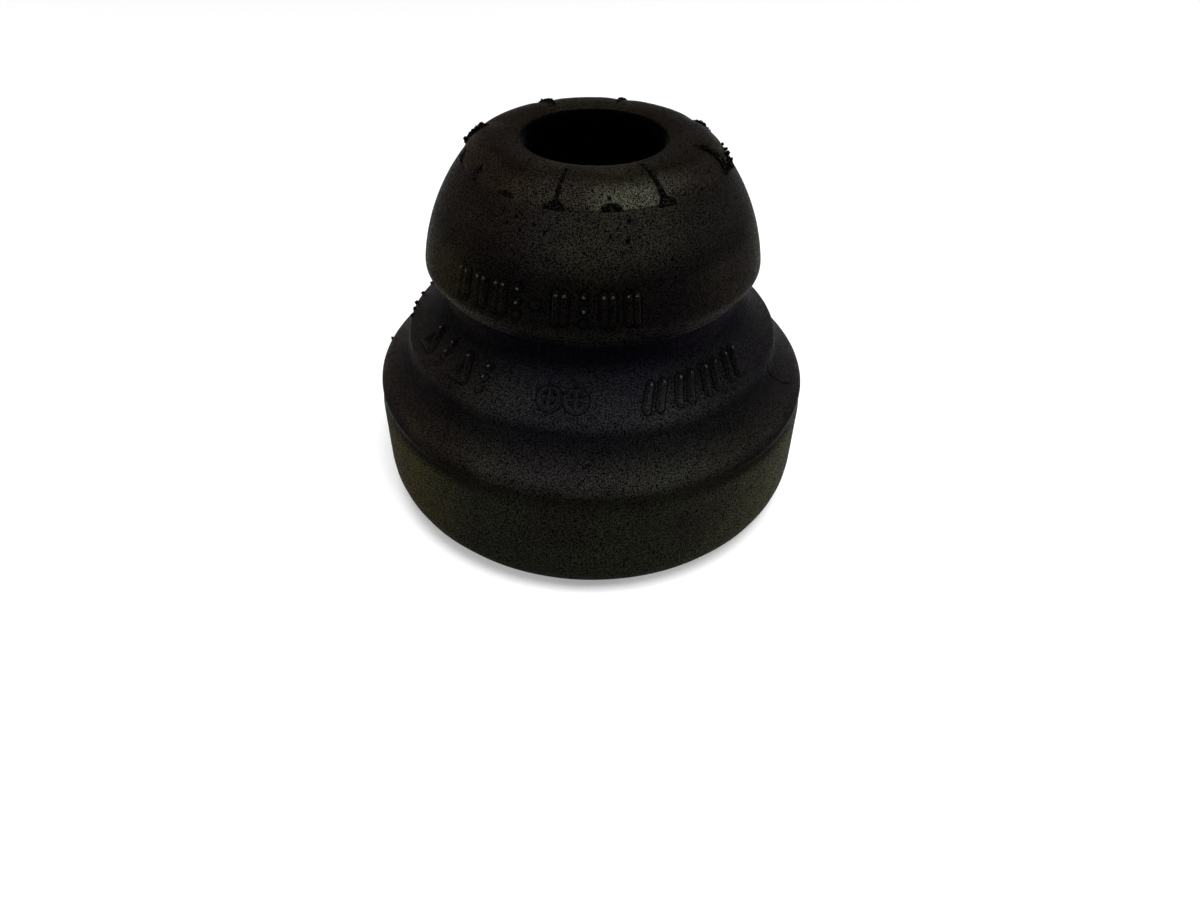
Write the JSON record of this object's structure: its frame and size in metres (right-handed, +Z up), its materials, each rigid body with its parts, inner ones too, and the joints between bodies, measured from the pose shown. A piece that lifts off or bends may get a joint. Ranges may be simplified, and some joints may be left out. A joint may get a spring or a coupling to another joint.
{
  "type": "rubber bump stop",
  "caption": "Moulded cellular rubber bump stop: a round bulb with a domed crown above a waist and sloping collar, on a wide round base with a flat seat and a through bore.",
  "frame": {"origin": "centre of the flat seat at the wide end, on the bore's axis", "axes": "+Z up along the bore, from the seat to the crown; -Y is the side the picture shows"},
  "size_m": [0.0644, 0.0644, 0.0557],
  "materials": {
    "bump_stop": "matte black moulded cellular rubber with a fine pored skin"
  },
  "bodies": {
    "root": {"bump_stop": "bump_stop"}
  },
  "joints": []
}
